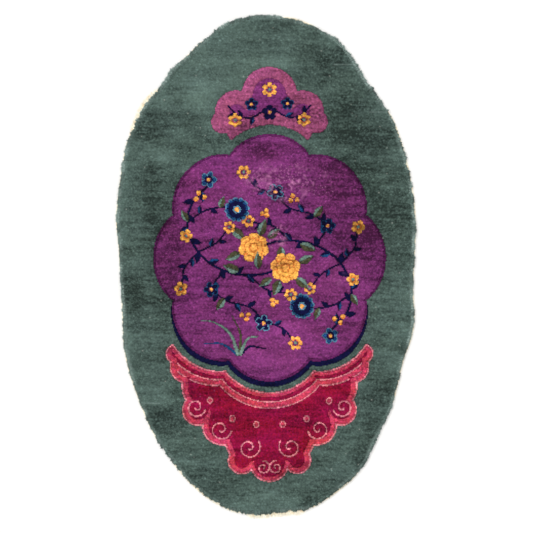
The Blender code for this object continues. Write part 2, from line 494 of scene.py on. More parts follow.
MIDDLE_MM = 11.0  # the design's middle line, to the right of the rug's
MEDALLION_EDGE_MM = 7.0  # its deeper purple edge
FOOT_EDGE_MM = 15.0  # the navy along its foot
MEDALLION_REACH_MM = 16.0  # how far its piece reaches past its edge, to take in the navy
CLOUD_EDGES_MM = ((0.0, "pink"), (4.5, "rose"))  # from the clouds' edge inwards
CLOUD_HEART_MM = (12.0, 15.0)  # where the crimson begins, by crisp and by blended clefts
HEAD_HEART_MM = (26.0, 34.0)  # and where the purple begins in the cloud head
BANK_GAP_MM, HEAD_GAP_MM = 30, 26  # by which they clear the medallion
BANK_BLEND_MM, HEAD_BLEND_MM = 7, 12  # how softly their inner clefts turn
CLOUD_BANDS_MM = (  # lines that follow the medallion across the top of the cloud bank
    # from, to, yarn
    (56, 60, "pink"),
    (60, 74, "rose"),
    (74, 78, "pink"),
)
MEDALLION = SimpleNamespace(up=28.0, half_width=352.0, half_height=374.0, lobes=8, depth=0.105)

CLOUD_BANK = (  # round clouds, mirrored about the middle line
    # across, up, radius
    (0, -440, 104),
    (104, -418, 92),
    (188, -360, 78),
    (250, -300, 52),
    (284, -262, 30),
    (58, -520, 78),
    (142, -478, 62),
    (0, -590, 60),
    (216, -432, 48),
    (84, -584, 42),
)
CLOUD_SCROLLS = (
    # across, up, size, turn
    (62, -544, 32, 150),
    (148, -490, 30, 190),
    (222, -424, 27, 200),
    (19, -606, 18, 90),
)
CLOUD_PEARLS = ((40, -476), (112, -458), (180, -404))
CLOUD_HEAD = (
    # across, up, radius
    (0, 520, 84),
    (100, 470, 64),
    (0, 450, 90),
    (64, 430, 70),
    (142, 438, 34),
)

# A spray of flowers, about the medallion's middle; a second one is the first turned half round
TWIGS = (
    # stem width, leaf spacing, leaf length, start, end, route
    (7, 42, 34, 0.06, 0.80, ((-176, 228), (-236, 160), (-246, 80), (-200, 0), (-120, -44),
                             (-30, -50), (40, -30))),
    (5, 34, 28, 0.25, 0.70, ((-244, 110), (-200, 140), (-150, 152), (-106, 150))),
    (5, 32, 28, 0.20, 0.85, ((-214, 20), (-256, -30), (-264, -80))),
    (5, 36, 30, 0.15, 0.90, ((-140, -38), (-170, -90), (-130, -130), (-60, -150), (-14, -196))),
    (5, 30, 26, 0.30, 0.80, ((-60, -52), (-10, -96), (52, -108))),
    (5, 30, 26, 0.30, 0.80, ((-20, -190), (40, -214), (70, -250))),
    (5, 32, 26, 0.30, 0.80, ((-214, 18), (-160, 46), (-128, 84))),
)
BROAD_LEAVES = (
    # across, up, turn, length
    (-92, -40, 160, 52),
    (-34, -34, 92, 50),
    (30, -66, 250, 54),
    (88, -14, 24, 50),
    (78, -60, 322, 54),
    (6, -60, 215, 46),
    (-246, 110, 120, 40),
    (-136, -122, 235, 44),
    (-150, 150, 70, 38),
)
BLOSSOMS = (
    # across, up, size, petals, turn, petal, heart, edge, throat
    (-268, -94, 22, 5, 30, "gold", "sage", None, "orange"),
    (78, -258, 23, 6, 0, "gold", "sage", None, "orange"),
    (-18, -198, 27, 5, 10, "navy", "gold", "light blue", "navy"),
    (64, -112, 21, 6, 12, "gold", "sage", None, "orange"),
    (-176, -96, 25, 5, 40, "navy", "gold", "blue", "navy"),
    (-252, 66, 21, 5, 70, "gold", "sage", None, "orange"),
    (-122, 92, 20, 6, 20, "gold", "sage", None, "orange"),
    (-184, 236, 26, 5, 0, "blue", "gold", "light blue", "navy"),
)
BERRIES = (
    (-214, 196),
    (-196, 184),
    (-222, 178),
    (-70, -186),
    (-84, -174),
    (-64, -172),
    (8, -128),
    (22, -134),
    (10, -142),
)
ORCHID = (  # a clump of arching blades, once only
    # width, yarn, route
    (9, "blue", ((-98, -292), (-142, -262), (-196, -260))),
    (9, "navy", ((-88, -292), (-58, -268), (-10, -276))),
    (10, "olive", ((-92, -290), (-88, -232), (-112, -176))),
    (11, "sage", ((-96, -290), (-118, -232), (-166, -196), (-206, -190))),
    (11, "sage", ((-88, -290), (-66, -244), (-34, -238))),
)

def past_medallion(across, up):
    """About how far a place is outside the lobed medallion, below zero inside."""
    m = MEDALLION
    x, y = (across - MIDDLE_MM) / m.half_width, (up - m.up) / m.half_height
    bearing = np.arctan2(x, y)
    reach = 1 - m.depth * (1 - np.abs(np.cos(m.lobes * bearing / 2)) ** 0.75)
    return (np.hypot(x, y) - reach) * m.half_width

def past_clouds(chart, table, gap, blend):
    """Distances outside a group of round clouds that clears the medallion by gap: first with
    crisp clefts between the clouds, and then with clefts blended for the lines further in."""
    across, up = np.meshgrid(chart.across, chart.up)
    away = [np.hypot(across - MIDDLE_MM - side * a, up - b) - r
            for a, b, r in table for side in (1, -1)]
    crisp = np.min(away, axis=0)
    shares = np.sum(np.exp((crisp - np.array(away)) / blend), axis=0)
    clear = gap - past_medallion(across, up)
    return np.maximum(crisp, clear), np.maximum(crisp - blend * np.log(shares / 2), clear)

def cloud_bank(chart):
    """Crimson clouds below the medallion, edged in rose and pink."""
    crisp, soft = past_clouds(chart, CLOUD_BANK, BANK_GAP_MM, BANK_BLEND_MM)
    for inward, yarn in CLOUD_EDGES_MM:
        chart.yarn[crisp < -inward] = YARN[yarn]
    chart.yarn[(crisp < -CLOUD_HEART_MM[0]) & (soft < -CLOUD_HEART_MM[1])] = YARN["crimson"]
    below = past_medallion(*np.meshgrid(chart.across, chart.up))
    for near, far, yarn in CLOUD_BANDS_MM:
        chart.yarn[(crisp < -20) & (below >= near) & (below < far)] = YARN[yarn]
    for side in (1, -1):
        for across, up, size, turn in CLOUD_SCROLLS:
            turn = turn if side > 0 else 180 - turn
            scroll(chart, (MIDDLE_MM + side * across, up), size, turn, side)
        for across, up in CLOUD_PEARLS:
            pearl(chart, (MIDDLE_MM + side * across, up), 9)

def cloud_head(chart):
    """A mauve cloud head above the medallion, with a purple heart and a garland."""
    crisp, soft = past_clouds(chart, CLOUD_HEAD, HEAD_GAP_MM, HEAD_BLEND_MM)
    chart.yarn[crisp < 0] = YARN["mauve"]
    chart.yarn[(crisp < -HEAD_HEART_MM[0]) & (soft < -HEAD_HEART_MM[1])] = YARN["purple"]
    for side in (1, -1):
        route = [(MIDDLE_MM + side * a, b) for a, b in ((20, 470), (56, 452), (96, 458), (124, 486))]
        twig(chart, route, 5, 28, 26, 0.25, 0.85)
        blossom(chart, (MIDDLE_MM + side * 104, 444), 22, 6, 30, "gold", "sage", None, "orange")
        blossom(chart, (MIDDLE_MM + side * 54, 492), 21, 5, 90, "navy", "gold", "blue", "navy")
    blossom(chart, (MIDDLE_MM, 536), 24, 6, 30, "gold", "sage", None, "orange")
    blossom(chart, (MIDDLE_MM, 466), 24, 5, 90, "navy", "gold")

def medallion(chart):
    """The purple ground of the lobed medallion, with a deeper edge, and navy along its foot."""
    away = past_medallion(*np.meshgrid(chart.across, chart.up))
    low = np.clip((MEDALLION.up - 120 - chart.up) / 180, 0, 1)[:, None]
    chart.yarn[away < FOOT_EDGE_MM * low] = YARN["navy"]
    chart.yarn[away < 0] = YARN["deep purple"]
    chart.yarn[away < -MEDALLION_EDGE_MM] = YARN["purple"]

def spray(chart, turn):
    """One spray of flowers on its twigs, turned about the medallion's middle."""
    c, s = math.cos(math.radians(turn)), math.sin(math.radians(turn))

    def at(place):
        x, y = place
        return (MIDDLE_MM + x * c - y * s, MEDALLION.up + x * s + y * c)

    for width, every, length, start, end, route in TWIGS:
        twig(chart, [at(p) for p in route], width, every, length, start, end)
    for across, up, way, length in BROAD_LEAVES:
        leaf(chart, at((across, up)), way + turn, length, length * 0.5, "sage", "olive", "olive")
    peony(chart, at((48, -30)), 46, 12 + turn)
    chrysanthemum(chart, at((-98, 146)), 38, 8 + turn)
    for across, up, size, petals, way, *yarns in BLOSSOMS:
        blossom(chart, at((across, up)), size, petals, way + turn, *yarns)
    for place in BERRIES:
        berry(chart, at(place), 7)

def drawn_chart():
    chart = blank_chart()
    cloud_head(chart)
    cloud_bank(chart)
    medallion(chart)
    for width, yarn, route in ORCHID:
        stem(chart, [(MIDDLE_MM + x, MEDALLION.up + y) for x, y in route], width, yarn, 3)
    for turn in (180, 0):
        spray(chart, turn)
    return chart

# ---------------------------------------------------------------- wear and shearing

SHADED_PATCHES = (  # painted light and shade: lighter where the pile leans towards the light, darker below zero where it leans away
    # across, up, half width, half height, change of tone
    (-170, 590, 160, 90, 0.34),
    (-195, 510, 46, 56, 0.34),
    (-150, 430, 40, 40, 0.22),
    (50, 618, 110, 18, 0.30),
    (-110, 715, 90, 34, 0.38),
    (-330, 545, 40, 50, 0.44),
    (205, 688, 50, 24, 0.26),
    (355, 480, 26, 56, 0.26),
    (150, 650, 80, 46, -0.24),
    (200, 600, 50, 50, -0.24),
    (-310, 345, 60, 30, 0.34),
    (-360, 430, 60, 44, -0.22),
    (-350, 240, 30, 110, -0.30),
    (240, 440, 60, 70, -0.40),
    (325, 410, 70, 80, -0.32),
    (395, 390, 26, 30, -0.24),
    (405, 130, 70, 160, -0.10),
    (-440, 150, 32, 80, 0.26),
    (-405, -85, 40, 95, -0.40),
    (-300, 50, 70, 190, -0.42),
    (405, -190, 70, 120, 0.14),
    (-428, -230, 34, 60, 0.36),
    (-345, -385, 60, 28, 0.38),
    (-295, -470, 56, 56, -0.34),
    (350, -340, 50, 70, -0.24),
    (0, -715, 120, 36, 0.36),
    (-150, -680, 80, 50, -0.20),
    (160, -690, 80, 50, -0.26),
    (300, -560, 40, 60, -0.34),
    (320, -430, 50, 60, -0.22),
    (-440, 300, 40, 90, 0.20),
    (270, 200, 130, 150, -0.42),
    (325, 50, 50, 90, -0.30),
    (150, 290, 80, 60, -0.20),
    (-20, 350, 60, 30, -0.30),
    (-190, 145, 60, 36, -0.30),
    (60, -240, 150, 90, 0.28),
    (-110, 210, 110, 80, 0.20),
)
WORN_PATCHES = (  # where the tips are worn pale
    # across, up, half width, half height, share of knots
    (58, 254, 135, 62, 0.85),
    (2, 272, 72, 32, 0.95),
    (36, 92, 32, 40, 1.30),
    (228, -38, 26, 20, 0.70),
)
PARTED_ROWS = (  # where the pile has parted between two rows and shows its sides, painted paler as sheen
    # from, to, up
    (204, 274, 611),
    (310, 373, 468),
    (-434, -322, -411),
)
STRAY_FIBRES = 0.0009  # share of all knots that caught a pale fibre

# How much lighter or darker than its yarn a knot looks
KNOT_TONE = 0.32  # from one knot to the next
RUN_TONE, RUN_KNOTS = 0.16, 12  # from one short run along a row to the next
SPUN_TONE, SPUN_KNOTS, SPUN_ROWS = 0.12, 34, 4  # from one spinning of the yarn to the next
TOP_PAINTED_LIGHT, DIP_PAINTED_SHADE = 0.10, -0.12  # painted light on a tuft's top, and painted shade in the dips round it
DIP_SHARE = 0.6  # how much of a tuft's wear, painted lean sheen and stray fibres shows in the dips

SHADE_END, WEAR_END = 1.4, 1.2  # where a patch has faded out, in half widths and heights
SHADE_UNEVENNESS = 0.15
SMUDGE_PALENESS, FLECKED_SHARE = 0.4, 0.09
SCUFF_FADE = 7  # how thin the scuffed lines are
SHADE_CELLS, SMUDGE_CELLS, SMEAR_CELLS, SCUFF_CELLS = (30, 18), (84, 42), (210, 110), (120, 44)
LEAN_CELLS = (40, 26)
LEAN_BAND_MM = 16.0  # how far in from the rim the pile leans out and is painted with sheen
LEAN_LEAST, LEAN_BY_PLACE, LEAN_BY_CHANCE = 0.15, 0.45, 0.8
LEAN_LIMITS, LEAN_SCATTER, PARTED_LEAN = (0.05, 1.2), (0.4, 1.2), (0.2, 0.6)
STRAY_PALENESS = (0.2, 0.65)

def at_corners(field):
    """The mean of the knots round each corner of the chart's squares."""
    padded = np.pad(field, 1, mode="edge")
    return (padded[:-1, :-1] + padded[1:, :-1] + padded[:-1, 1:] + padded[1:, 1:]) / 4

def shaded(across, up, rng):
    """Each knot's tone above or below that of its yarn: at random, and with the patches' painted
    light and shade.
    """
    rows, columns = shape = across.shape
    tone = np.exp(rng.normal(0.0, KNOT_TONE, shape)) - 1.0
    tone += uneven(rng, shape, (rows, columns // RUN_KNOTS)) * RUN_TONE
    tone += uneven(rng, shape, (rows // SPUN_ROWS, columns // SPUN_KNOTS)) * SPUN_TONE
    for a, b, half_width, half_height, change in SHADED_PATCHES:
        away = np.hypot((across - a) / half_width, (up - b) / half_height)
        away -= SHADE_UNEVENNESS * uneven(rng, shape, SHADE_CELLS)
        near = np.clip(SHADE_END - away, 0, 1)
        tone += change * near**2 * (3 - 2 * near)
    return tone

def rubbed_pale(across, up, rng):
    """How far each knot's tips are worn: soft smudges, thin scuffed lines and flecks."""
    shape = across.shape
    worn = np.zeros(shape)
    for a, b, half_width, half_height, share in WORN_PATCHES:
        away = np.hypot((across - a) / half_width, (up - b) / half_height)
        near = np.clip(WEAR_END - away, 0, 1) * share
        smudge = uneven(rng, shape, SMUDGE_CELLS) * 1.3 + uneven(rng, shape, SMEAR_CELLS)
        lines = np.clip(1.3 - SCUFF_FADE * np.abs(uneven(rng, shape, SCUFF_CELLS)), 0, 1)
        rubbed = SMUDGE_PALENESS * np.clip(smudge - 0.45, 0, 1)
        rubbed += lines * np.clip(1.2 * smudge + 0.1, 0, 0.9)
        rubbed *= near * rng.uniform(0.5, 1.3, shape)
        flecked = (rng.random(shape) < near * FLECKED_SHARE) * rng.uniform(0.25, 0.85, shape)
        worn = np.maximum(worn, np.maximum(rubbed, flecked))
    return worn

def lean_sheen_of(chart, across, up, inset, rng):
    """How strongly each knot is painted paler, as painted sheen, where it leans and shows the length
    of its fibres, at the rim and where rows have parted."""
    shape = across.shape
    patchy = LEAN_LEAST + LEAN_BY_PLACE * leaning(bearing_of(across, up))
    patchy += LEAN_BY_CHANCE * uneven(rng, shape, LEAN_CELLS)
    lean_sheen = np.clip(1 - inset / LEAN_BAND_MM, 0, 1) * np.clip(patchy, *LEAN_LIMITS)
    lean_sheen *= rng.uniform(*LEAN_SCATTER, shape)
    for start, end, b in PARTED_ROWS:
        row = np.argmin(np.abs(chart.up - b))
        parted_knots = (chart.across > start) & (chart.across < end)
        lean_sheen[row] += parted_knots * rng.uniform(*PARTED_LEAN, shape[1])
    return lean_sheen

def knot_notes(chart, rng):
    """For each knot's tuft and for the dips round it: its tone, with painted light on the tops and
    painted shade in the dips, its wear, how far it leans out, painted as sheen, and its stray
    fibres, with the knots' distances in from the rim."""
    across, up = np.meshgrid(chart.across, chart.up)
    inset = inset_of(across * MM, up * MM) / MM
    tone = shaded(across, up, rng)
    worn = rubbed_pale(across, up, rng)
    lean_sheen = lean_sheen_of(chart, across, up, inset, rng)
    stray = (rng.random(tone.shape) < STRAY_FIBRES) * rng.uniform(*STRAY_PALENESS, tone.shape)
    on_ground = chart.yarn == YARN["ground"]
    worn, stray = np.maximum(worn, stray * ~on_ground * 0.7), stray * on_ground
    return SimpleNamespace(
        inset=inset,
        tone=(tone + TOP_PAINTED_LIGHT, at_corners(tone) + DIP_PAINTED_SHADE),
        worn=(worn, at_corners(worn) * DIP_SHARE),
        lean_sheen=(lean_sheen, at_corners(lean_sheen) * DIP_SHARE),
        stray=(stray, at_corners(stray) * DIP_SHARE),
    )

# How unevenly the shears, the beater and the hand worked, in millimetres
SHEARED_MM, STROKE_MM = 0.55, 0.25  # the face's rise and fall, slow and from stroke to stroke
BEATEN_MM = 1.6  # how far the rows wander
DIP_SCATTER_MM = (0.40, 0.34, 0.12)  # across, up and in height
TOP_SCATTER_MM = (0.50, 0.42, 0.24)
BESIDE_GROOVE = 0.3  # share of a groove's depth by which the tufts beside it are lower
# painted shade: how much darker the dips in a groove between yarns are painted
GROOVE_PAINTED_SHADE = -0.25

def sheared_heights(chart, notes, rng):
    """Where the dips at the knots' corners and the tufts' tops go: millimetres from the even
    grid, and heights. Also which corners lie in a groove between yarns."""
    rows, columns = chart.yarn.shape
    corners = (rows + 1, columns + 1)
    padded = np.pad(chart.yarn, 1, mode="edge")
    meets = [padded[r : r + rows + 1, c : c + columns + 1] for r in (0, 1) for c in (0, 1)]
    cut = np.any([other != meets[0] for other in meets[1:]], axis=0)
    beside = cut[:-1, :-1] | cut[1:, :-1] | cut[:-1, 1:] | cut[1:, 1:]
    hand = uneven(rng, corners, (18, 11)) * SHEARED_MM
    hand += uneven(rng, corners, (rows // 6, columns // 20)) * STROKE_MM
    heights, insets = [h for _, h in CROWN_MM], [i for i, _ in CROWN_MM]
    dip = np.interp(at_corners(notes.inset), insets, heights) + hand - TUFT_RISE_MM
    dip += rng.normal(0, DIP_SCATTER_MM[2], corners) - GROOVE_MM * cut
    top = np.interp(notes.inset, insets, heights) + (hand[:-1, :-1] + hand[1:, 1:]) / 2
    top += rng.normal(0, TOP_SCATTER_MM[2], top.shape) - BESIDE_GROOVE * GROOVE_MM * beside
    wander = uneven(rng, corners, (26, 8)) * BEATEN_MM
    middling = (wander[:-1, :-1] + wander[1:, 1:]) / 2
    return SimpleNamespace(
        cut=cut,
        dip=dip,
        dip_across=rng.normal(0, DIP_SCATTER_MM[0], corners),
        dip_up=rng.normal(0, DIP_SCATTER_MM[1], corners) + wander,
        top=top,
        top_across=rng.normal(0, TOP_SCATTER_MM[0], top.shape),
        top_up=rng.normal(-NAP_MM, TOP_SCATTER_MM[1], top.shape) + middling,
    )

# ---------------------------------------------------------------- the pile's face

def on_chart(chart, places):
    """How many of the chart's rows and columns lie before each place, with parts of a knot."""
    rows, columns = chart.yarn.shape
    row = places[:, 1] / MM / KNOT_UP_MM + rows / 2
    return row, places[:, 0] / MM / KNOT_ACROSS_MM + columns / 2

def knot_at(chart, places):
    """The chart's row and column at each place."""
    found = zip(on_chart(chart, places), chart.yarn.shape)
    return tuple(np.clip(np.floor(part).astype(int), 0, size - 1) for part, size in found)

def level_grid(name, columns, rows, width, length):
    deselect_all()
    bpy.ops.mesh.primitive_grid_add(x_subdivisions=columns, y_subdivisions=rows, size=1.0)
    grid = bpy.context.active_object
    grid.name = grid.data.name = name
    bpy.ops.transform.resize(value=(width, length, 1.0))
    bpy.ops.object.transform_apply(location=False, rotation=False, scale=True)
    return grid

def parted(field, chart, area, name):
    """Separates the knots of one area of the design into a piece of its own."""
    chosen = area[knot_at(chart, face_middles(field.data))]
    on_faces(field, chosen, lambda: bpy.ops.mesh.separate(type="SELECTED"))
    made = next(o for o in bpy.context.selected_objects if o != field)
    made.name = made.data.name = name
    return made

def tufted(piece, chart, notes, heights):
    """Raises a tuft on each knot, and lays the piece's notes and its map, seen from above."""
    on_faces(piece, None, lambda: bpy.ops.mesh.poke())
    mesh = piece.data
    places = places_of(mesh)
    row, column = on_chart(chart, places)
    is_top = np.abs(column - np.round(column)) > 0.25
    corner = (np.round(row).astype(int), np.round(column).astype(int))
    knot = knot_at(chart, places)
    face_knot = knot_at(chart, face_middles(mesh))
    h = heights
    places[:, 0] += np.where(is_top, h.top_across[knot], h.dip_across[corner]) * MM
    places[:, 1] += np.where(is_top, h.top_up[knot], h.dip_up[corner]) * MM
    places[:, 2] = np.where(is_top, h.top[knot], h.dip[corner]) * MM
    move_points(mesh, places)
    note(mesh, "yarn", "FACE", (chart.yarn[face_knot] + 0.5) / len(YARNS))
    for name in ("tone", "worn", "lean_sheen", "stray"):
        tops, dips = getattr(notes, name)
        # painted shade: dips that lie in a groove between yarns are painted darker still
        dips = dips + GROOVE_PAINTED_SHADE * h.cut if name == "tone" else dips
        note(mesh, name, "POINT", np.where(is_top, tops[knot], dips[corner]))
    low, high = places.min(0), places.max(0)
    lay_map(mesh, ((places - low) / (high - low))[corner_points(mesh), :2])
    mesh.shade_smooth()
    return piece

def pile_face(chart, notes, rng):
    """The sheared face in its areas of colour, each of them a piece."""
    heights = sheared_heights(chart, notes, rng)
    rows, columns = chart.yarn.shape
    width, length = columns * KNOT_ACROSS_MM * MM, rows * KNOT_UP_MM * MM
    field = level_grid("pile_ground", columns, rows, width, length)
    row, column = knot_at(chart, face_middles(field.data))
    bearings = bearing_of(chart.across[column], chart.up[row])
    bitten = np.clip(strays_in(bearings, 0.0) / MM - LOCKS_COVER_MM, 0, None)
    cut_off = notes.inset[row, column] < FACE_INSET_MM + bitten
    on_faces(field, cut_off, lambda: bpy.ops.mesh.delete(type="FACE"))
    across, up = np.meshgrid(chart.across, chart.up)
    past = past_medallion(across, up)
    pattern = chart.yarn != YARN["ground"]
    areas = (
        ("pile_medallion", past < MEDALLION_REACH_MM),
        ("pile_cloud_bank", pattern & (past >= MEDALLION_REACH_MM) & (up < MEDALLION.up)),
        ("pile_cloud_head", pattern & (past >= MEDALLION_REACH_MM) & (up > MEDALLION.up)),
        ("pile_border", notes.inset < BORDER_MM),
    )
    pieces = [parted(field, chart, area, name) for name, area in areas]
    return [tufted(piece, chart, notes, heights) for piece in (field, *pieces)]

# ---------------------------------------------------------------- the pile's rim

RIM_ROLL_MM = (  # the body of the pile at its rim, in section
    # inset, height
    (18.0, 3.1),
    (8.2, 3.1),
    (3.4, 4.3),
    (2.0, 6.4),
    (2.6, 8.6),
    (5.0, 10.2),
    (18.0, 10.8),
)
ROLL_STEP_MM = 3.2  # along the rim
# painted shade: the roll under the locks is painted darker than its yarn
ROLL_PAINTED_SHADE = -0.15
RIM_LOCKS_MM = (  # tiers of wool locks that make the ragged rim
    # root inset, root height, tip inset, tip height, bulge, share of the notches
    (8.0, 3.6, 0.8, 3.4, 0.6, 1.0),
    (6.8, 4.8, -0.5, 5.2, 0.7, 1.0),
    (6.0, 6.6, -0.8, 7.4, 0.7, 1.0),
    (6.6, 8.2, 0.2, 9.2, 0.5, 0.9),
    (8.6, 9.4, 2.0, 10.6, 0.2, 0.6),
    (12.0, 9.8, 4.6, 11.7, 0.0, 0.3),
)
LOCK_SPACING_MM = 2.5
LOCK_WIDTHS_MM = (2.6, 2.1, 0.6)  # at its root, its middle and its tip
LOCK_THICKNESSES_MM = (1.8, 1.5, 0.5)
LOCK_MIDDLE = 0.58  # where its middle is, from root to tip
LOCK_LOWEST_MM = 2.6  # above the floor
LOCK_ROOTS_MM = 1.6  # most that a root lies further in
LOCK_SCATTER_MM = (1.2, 1.1, 0.45)  # of the tips: in and out, along the rim and in height
LOCK_STRAY_MM = (-2.8, 3.2)  # most that a tip lies out or in
CLUMPS_MM, CLUMPED_LOCKS = 0.8, 3  # how far clumps lie in or out, and the locks in each
LOCK_TONE, YARN_TONE = 0.30, 0.22  # from lock to lock, and from one yarn to the next
PLUMPNESS, TIP_SHEEN_RANGE = (0.75, 1.25), (0.5, 1.8)  # how plump a lock is, and how strongly its tip is painted with sheen: from the least lock to the most
STRAND_POINTS = 12  # four round its root, four round its middle and four round its tip

def strands(roots, middles, tips, sideways, widths, thicknesses):
    """Tapering four-sided strands in one mesh, its points and faces. Each runs from its root
    past its middle to its tip; sideways is the direction that its widths are measured in."""
    count = len(roots)
    rise = np.cross(sideways, tips - roots)
    rise /= np.linalg.norm(rise, axis=1)[:, None]
    rise[rise[:, 2] < 0] *= -1
    rings = []
    for spine, width, thickness in zip((roots, middles, tips), widths, thicknesses):
        side = sideways * (np.broadcast_to(width, count) / 2)[:, None]
        lift = rise * (np.broadcast_to(thickness, count) / 2)[:, None]
        corners = (spine - side - lift, spine + side - lift, spine + side + lift, spine - side + lift)
        rings.append(np.stack(corners, axis=1))
    points = np.stack(rings, axis=1).reshape(-1, 3)
    walls = [
        (ring + i, ring + (i + 1) % 4, ring + 4 + (i + 1) % 4, ring + 4 + i)
        for ring in (0, 4)
        for i in range(4)
    ]
    one = np.array([*walls, (3, 2, 1, 0), (8, 9, 10, 11)])
    starts = STRAND_POINTS * np.arange(count)[:, None, None]
    return points, (one[None] + starts).reshape(-1, 4)

def rim_roll():
    """The rolled body of the pile along the rim, a closed ring under the locks."""
    bearings = evenly_round(ROLL_STEP_MM * MM)
    rings = []
    for inset, height in RIM_ROLL_MM:
        back = strays_in(bearings) * max(0.0, 1 - inset / 12.0)
        places, _ = rim_places(bearings, inset * MM + back)
        rings.append(np.column_stack([places, np.full(len(places), height * MM)]))
    count, sides = len(bearings), len(rings)
    faces = []
    for side in range(sides):
        low, high = side * count, (side + 1) % sides * count
        faces += [
            (low + i, high + i, high + (i + 1) % count, low + (i + 1) % count) for i in range(count)
        ]
    roll = piece_from("pile_rim_roll", np.concatenate(rings), faces)
    turn_outward(roll)
    mesh = roll.data
    note(mesh, "along", "POINT", np.zeros(len(mesh.vertices)))
    # the whole roll painted darker, as painted shade
    note(mesh, "tone", "POINT", np.full(len(mesh.vertices), ROLL_PAINTED_SHADE))
    round_share = np.tile(bearings / ROUND, sides)
    side_share = np.repeat(np.arange(sides) / (sides - 1), count)
    lay_map(mesh, np.stack([round_share, side_share], axis=1)[corner_points(mesh)])
    mesh.shade_smooth()
    return roll

def rim_locks(rng):
    """Locks of ground wool that lean out all round the rim, in tiers."""
    even = evenly_round(LOCK_SPACING_MM * MM)
    count = len(even)
    at = np.arange(0, count, CLUMPED_LOCKS)
    clumps = np.interp(np.arange(count), at, rng.normal(0, 1, len(at)))
    spun = np.repeat(rng.normal(0, YARN_TONE, (count + 1) // 2), 2)[:count]  # two locks to a yarn
    tiers = []
    for root_inset, root_height, tip_inset, tip_height, bulge, notched in RIM_LOCKS_MM:
        bearings = even + rng.uniform(-0.4, 0.4, count) * (even[1] - even[0])
        back = strays_in(bearings, notched) * (0.4 + 0.6 * notched)
        loose = rng.normal(0, LOCK_SCATTER_MM[0], count) + CLUMPS_MM * clumps * notched
        root_inset = (root_inset + rng.uniform(0, LOCK_ROOTS_MM, count)) * MM
        root, away = rim_places(bearings, root_inset + 0.6 * np.maximum(back, 0))
        tip, _ = rim_places(bearings, (tip_inset + np.clip(loose, *LOCK_STRAY_MM)) * MM + back)
        along = np.stack([away[:, 1], -away[:, 0]], axis=1)
        tip = tip + along * rng.normal(0, LOCK_SCATTER_MM[1] * MM, count)[:, None]
        height = tip_height + rng.normal(0, LOCK_SCATTER_MM[2], count)
        root = np.column_stack([root, np.full(count, root_height * MM)])
        tip = np.column_stack([tip, np.maximum(height, LOCK_LOWEST_MM) * MM])
        middle = root + (tip - root) * LOCK_MIDDLE + np.array([0.0, 0.0, bulge * MM])
        tiers.append((root, middle, tip, np.column_stack([along, np.zeros(count)])))
    roots, middles, tips, sideways = (np.concatenate(parts) for parts in zip(*tiers))
    plump = rng.uniform(*PLUMPNESS, len(roots)) * MM
    widths = [width * plump for width in LOCK_WIDTHS_MM]
    thicknesses = [thickness * plump for thickness in LOCK_THICKNESSES_MM]
    points, faces = strands(roots, middles, tips, sideways, widths, thicknesses)
    locks = piece_from("pile_rim_locks", points, faces.tolist())
    turn_outward(locks)
    mesh = locks.data
    along = np.tile(np.repeat([0.0, LOCK_MIDDLE, 1.0], 4), len(roots))
    tip_sheen = rng.uniform(*TIP_SHEEN_RANGE, len(roots)) * np.tile(leaning(even), len(tiers))
    # painted sheen: the locks' tips are painted paler, more so where the rim leans out
    note(mesh, "along", "POINT", along * np.repeat(tip_sheen, STRAND_POINTS))
    tone = np.exp(rng.normal(0, LOCK_TONE, len(roots)) + np.tile(spun, len(tiers))) - 1
    note(mesh, "tone", "POINT", np.repeat(tone, STRAND_POINTS))
    round_share = np.repeat(np.tile(even / ROUND, len(tiers)), STRAND_POINTS)
    tier_share = (np.repeat(np.arange(len(tiers)), count * STRAND_POINTS) + along) / len(tiers)
    lay_map(mesh, np.stack([round_share, tier_share], axis=1)[corner_points(mesh)])
    mesh.shade_smooth()
    return locks

# ---------------------------------------------------------------- the knotted back

BACK_CELL_MM = 4.2  # the back's squares, coarser than its knots

def knotted_back(chart, notes):
    """The foundation and the knots' backs: a closed slab under the pile, flat on the floor."""
    columns, rows = int(WIDTH / MM / BACK_CELL_MM), int(LENGTH / MM / BACK_CELL_MM)
    back = level_grid("knotted_back", columns, rows, WIDTH, LENGTH)
    middles = face_middles(back.data)
    outside = inset_of(middles[:, 0], middles[:, 1]) < OVERHANG
    on_faces(back, outside, lambda: bpy.ops.mesh.delete(type="FACE"))
    draw_to_edge(back.data)
    on_faces(back, None, close_slab)
    turn_outward(back)
    mesh = back.data
    faces_down = triples(mesh.polygons, "normal")[:, 2] < -0.5
    knot = knot_at(chart, face_middles(mesh))
    yarn = np.where(faces_down, chart.yarn[knot], YARN["ground"])
    note(mesh, "yarn", "FACE", (yarn + 0.5) / len(YARNS))
    # the back takes the dips' tones, their painted shade included
    note(mesh, "tone", "FACE", notes.tone[1][knot])
    under = np.repeat(faces_down, numbers(mesh.polygons, "loop_total"))
    places = places_of(mesh)
    low, high = places.min(0), places.max(0)
    shares = 0.975 * ((places - low) / (high - low))[corner_points(mesh), :2]
    shares[~under] = (0.99, 0.99)  # the covered top and the thin edge share one corner
    lay_map(mesh, shares)
    return back

def draw_to_edge(mesh):
    """Moves the points of the stepped edge out or in to the foundation's smooth edge."""
    faces_on = np.bincount(corner_points(mesh), minlength=len(mesh.vertices))
    places = places_of(mesh)
    x, y = places[:, 0], places[:, 1]
    reach = on_line(bearing_of(x, y), LINE.reach) / np.maximum(np.hypot(x, y), 1e-6)
    places[faces_on < 4, :2] *= reach[faces_on < 4, None]
    move_points(mesh, places)

def close_slab():
    """Raises the selected sheet's edge by the foundation's thickness and covers it."""
    bpy.ops.mesh.remove_doubles(threshold=0.25 * MM)
    bpy.ops.mesh.region_to_loop()
    bpy.ops.mesh.extrude_edges_move(
        TRANSFORM_OT_translate={"value": (0.0, 0.0, FOUNDATION_MM * MM)}
    )
    bpy.ops.mesh.edge_face_add()

# ---------------------------------------------------------------- the frayed cotton edge

